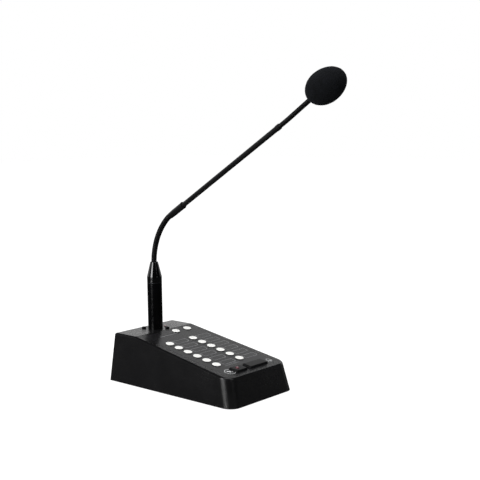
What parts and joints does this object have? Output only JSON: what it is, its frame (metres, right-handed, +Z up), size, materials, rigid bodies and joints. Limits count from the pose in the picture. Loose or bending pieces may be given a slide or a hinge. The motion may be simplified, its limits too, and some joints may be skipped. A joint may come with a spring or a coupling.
{
  "type": "paging microphone",
  "caption": "Desk paging microphone: a wedge-shaped console with columns of round zone buttons, raised front keys and a plug-in gooseneck with a foam windscreen.",
  "frame": {"origin": "on the desk, under the centre of the case", "axes": "+Z up, +Y to the rear, where the gooseneck stands, +X to the user's right"},
  "size_m": [0.1158, 0.3248, 0.3865],
  "materials": {
    "case_plastic": "fine moulded texture",
    "printed_sheet": "matt printed film",
    "feet_rubber": "matt",
    "zinc_steel": "zinc plated",
    "black_screw": "black oxide",
    "circuit_board": "solder mask",
    "inner_plastic": "plain moulded",
    "white_plastic": "plain moulded",
    "ribbon_grey": "flat cable",
    "contact_metal": "gold plated",
    "button_white": "satin moulded",
    "key_black": "satin moulded",
    "light_red": "clear tinted",
    "black_metal": "satin black",
    "neck_black": "matt black wound steel",
    "ring_metal": "satin",
    "capsule_metal": "satin",
    "windscreen_foam": "open-cell foam"
  },
  "bodies": {
    "console": {"upper_case": "case_plastic", "base_plate": "case_plastic", "panel_sheet": "printed_sheet", "rubber_feet": "feet_rubber", "bottom_screws": "zinc_steel", "board_screws": "zinc_steel", "ballast_plate": "zinc_steel", "socket_screws": "black_screw", "panel_board": "circuit_board", "link_board": "circuit_board", "socket_board": "circuit_board", "amplifier_board": "circuit_board", "key_switches": "inner_plastic", "ribbon_headers": "inner_plastic", "link_socket_left": "inner_plastic", "link_socket_right": "inner_plastic", "gooseneck_socket": "inner_plastic", "plug_insert": "inner_plastic", "talk_light_spacer": "white_plastic", "panel_ribbon": "ribbon_grey", "socket_ribbon": "ribbon_grey", "link_socket_contacts": "contact_metal", "socket_contacts": "contact_metal", "plug_pins": "contact_metal", "talk_light": "light_red", "status_light": "light_red", "upright_tube": "black_metal", "neck_collar": "black_metal", "tube_ring": "ring_metal", "neck_root_link": "neck_black"},
    "zone_button_01": {"zone_button_01": "button_white"},
    "zone_button_02": {"zone_button_02": "button_white"},
    "zone_button_03": {"zone_button_03": "button_white"},
    "zone_button_04": {"zone_button_04": "button_white"},
    "zone_button_05": {"zone_button_05": "button_white"},
    "zone_button_06": {"zone_button_06": "button_white"},
    "zone_button_07": {"zone_button_07": "button_white"},
    "zone_button_08": {"zone_button_08": "button_white"},
    "zone_button_09": {"zone_button_09": "button_white"},
    "zone_button_10": {"zone_button_10": "button_white"},
    "zone_button_11": {"zone_button_11": "button_white"},
    "zone_button_12": {"zone_button_12": "button_white"},
    "function_button_left": {"function_button_left": "button_white"},
    "function_button_right": {"function_button_right": "button_white"},
    "talk_key": {"talk_key": "key_black"},
    "chime_key": {"chime_key": "key_black"},
    "neck_1": {"neck_link_1": "neck_black"},
    "neck_2": {"neck_link_2": "neck_black"},
    "neck_3": {"neck_link_3": "neck_black"},
    "neck_4": {"neck_link_4": "neck_black"},
    "boom": {"neck_end_link": "neck_black", "neck_sleeve": "black_metal", "boom_tube": "black_metal", "boom_ferrule": "black_metal", "upper_neck_root_link": "neck_black"},
    "upper_neck": {"upper_neck_link": "neck_black"},
    "head": {"upper_neck_end_link": "neck_black", "capsule_housing": "black_metal", "mic_capsule": "capsule_metal", "foam_windscreen": "windscreen_foam"}
  },
  "joints": [
    {"name": "zone_button_01_press", "type": "slide", "parent": "console", "child": "zone_button_01", "axis": [0, 0.1715, -0.9852], "range_m": [0, 0.0008], "stiffness_N_per_m": 1200, "springref_m": -0.0004},
    {"name": "zone_button_02_press", "type": "slide", "parent": "console", "child": "zone_button_02", "axis": [0, 0.1715, -0.9852], "range_m": [0, 0.0008], "stiffness_N_per_m": 1200, "springref_m": -0.0004},
    {"name": "zone_button_03_press", "type": "slide", "parent": "console", "child": "zone_button_03", "axis": [0, 0.1715, -0.9852], "range_m": [0, 0.0008], "stiffness_N_per_m": 1200, "springref_m": -0.0004},
    {"name": "zone_button_04_press", "type": "slide", "parent": "console", "child": "zone_button_04", "axis": [0, 0.1715, -0.9852], "range_m": [0, 0.0008], "stiffness_N_per_m": 1200, "springref_m": -0.0004},
    {"name": "zone_button_05_press", "type": "slide", "parent": "console", "child": "zone_button_05", "axis": [0, 0.1715, -0.9852], "range_m": [0, 0.0008], "stiffness_N_per_m": 1200, "springref_m": -0.0004},
    {"name": "zone_button_06_press", "type": "slide", "parent": "console", "child": "zone_button_06", "axis": [0, 0.1715, -0.9852], "range_m": [0, 0.0008], "stiffness_N_per_m": 1200, "springref_m": -0.0004},
    {"name": "zone_button_07_press", "type": "slide", "parent": "console", "child": "zone_button_07", "axis": [0, 0.1715, -0.9852], "range_m": [0, 0.0008], "stiffness_N_per_m": 1200, "springref_m": -0.0004},
    {"name": "zone_button_08_press", "type": "slide", "parent": "console", "child": "zone_button_08", "axis": [0, 0.1715, -0.9852], "range_m": [0, 0.0008], "stiffness_N_per_m": 1200, "springref_m": -0.0004},
    {"name": "zone_button_09_press", "type": "slide", "parent": "console", "child": "zone_button_09", "axis": [0, 0.1715, -0.9852], "range_m": [0, 0.0008], "stiffness_N_per_m": 1200, "springref_m": -0.0004},
    {"name": "zone_button_10_press", "type": "slide", "parent": "console", "child": "zone_button_10", "axis": [0, 0.1715, -0.9852], "range_m": [0, 0.0008], "stiffness_N_per_m": 1200, "springref_m": -0.0004},
    {"name": "zone_button_11_press", "type": "slide", "parent": "console", "child": "zone_button_11", "axis": [0, 0.1715, -0.9852], "range_m": [0, 0.0008], "stiffness_N_per_m": 1200, "springref_m": -0.0004},
    {"name": "zone_button_12_press", "type": "slide", "parent": "console", "child": "zone_button_12", "axis": [0, 0.1715, -0.9852], "range_m": [0, 0.0008], "stiffness_N_per_m": 1200, "springref_m": -0.0004},
    {"name": "function_button_left_press", "type": "slide", "parent": "console", "child": "function_button_left", "axis": [0, 0.1715, -0.9852], "range_m": [0, 0.0008], "stiffness_N_per_m": 1200, "springref_m": -0.0004},
    {"name": "function_button_right_press", "type": "slide", "parent": "console", "child": "function_button_right", "axis": [0, 0.1715, -0.9852], "range_m": [0, 0.0008], "stiffness_N_per_m": 1200, "springref_m": -0.0004},
    {"name": "talk_key_press", "type": "slide", "parent": "console", "child": "talk_key", "axis": [0, 0.1715, -0.9852], "range_m": [0, 0.0015], "stiffness_N_per_m": 800, "springref_m": -0.0008},
    {"name": "chime_key_press", "type": "slide", "parent": "console", "child": "chime_key", "axis": [0, 0.1715, -0.9852], "range_m": [0, 0.0015], "stiffness_N_per_m": 800, "springref_m": -0.0008},
    {"name": "neck_bend_1", "type": "hinge", "parent": "console", "child": "neck_1", "pos_m": [0, 0.079, 0.1543], "axis": [1, 0, 0], "range_deg": [-18, 8]},
    {"name": "neck_sway_1", "type": "hinge", "parent": "neck_1", "child": "neck_2", "pos_m": [0, 0.07615, 0.16987], "axis": [0, 0.9641, 0.2656], "range_deg": [-15, 15]},
    {"name": "neck_bend_2", "type": "hinge", "parent": "neck_2", "child": "neck_3", "pos_m": [0, 0.07046, 0.1846], "axis": [1, 0, 0], "range_deg": [-18, 8]},
    {"name": "neck_sway_2", "type": "hinge", "parent": "neck_3", "child": "neck_4", "pos_m": [0, 0.06196, 0.19792], "axis": [0, 0.7848, 0.6198], "range_deg": [-15, 15]},
    {"name": "neck_bend_3", "type": "hinge", "parent": "neck_4", "child": "boom", "pos_m": [0, 0.05099, 0.20928], "axis": [1, 0, 0], "range_deg": [-18, 8]},
    {"name": "head_tilt", "type": "hinge", "parent": "boom", "child": "upper_neck", "pos_m": [0, -0.13974, 0.32846], "axis": [1, 0, 0], "range_deg": [-25, 25]},
    {"name": "head_swivel", "type": "hinge", "parent": "upper_neck", "child": "head", "pos_m": [0, -0.16273, 0.34408], "axis": [0, 0.5621, 0.8271], "range_deg": [-25, 25]}
  ],
  "couplings": [
    {"joint": "neck_bend_2", "follows": "neck_bend_1", "ratio": 1},
    {"joint": "neck_bend_3", "follows": "neck_bend_1", "ratio": 1},
    {"joint": "neck_sway_2", "follows": "neck_sway_1", "ratio": 1}
  ]
}
